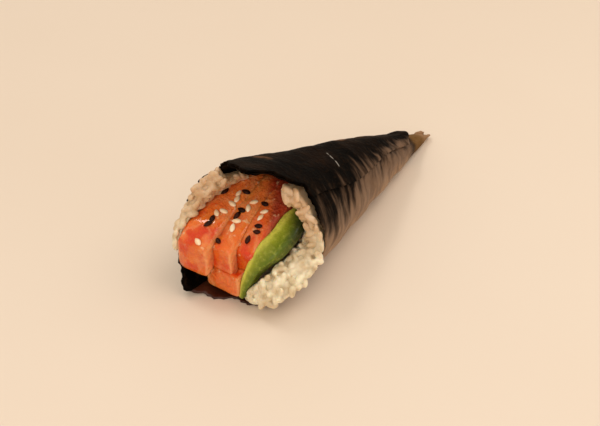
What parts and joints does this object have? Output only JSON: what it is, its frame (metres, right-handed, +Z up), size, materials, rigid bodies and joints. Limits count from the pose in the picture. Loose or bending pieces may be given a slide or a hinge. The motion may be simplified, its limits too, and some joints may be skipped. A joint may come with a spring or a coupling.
{
  "type": "temaki hand roll",
  "caption": "Cone of nori rolled round sushi rice, salmon strips with sesame seeds and an avocado slice, lying on its side.",
  "frame": {"origin": "centre of the box round the roll, at its bottom face: the surface the roll lies on", "axes": "+X along the roll towards its pointed tip, +Y towards its side away from the avocado, +Z up"},
  "size_m": [0.1376, 0.053, 0.0541],
  "materials": {
    "nori": "satin",
    "rice": "satin",
    "salmon": "gloss",
    "avocado": "satin"
  },
  "bodies": {
    "root": {"nori": "nori", "rice": "rice", "salmon_left": "salmon", "salmon_middle": "salmon", "salmon_right": "salmon", "salmon_under": "salmon", "avocado": "avocado"}
  },
  "joints": []
}
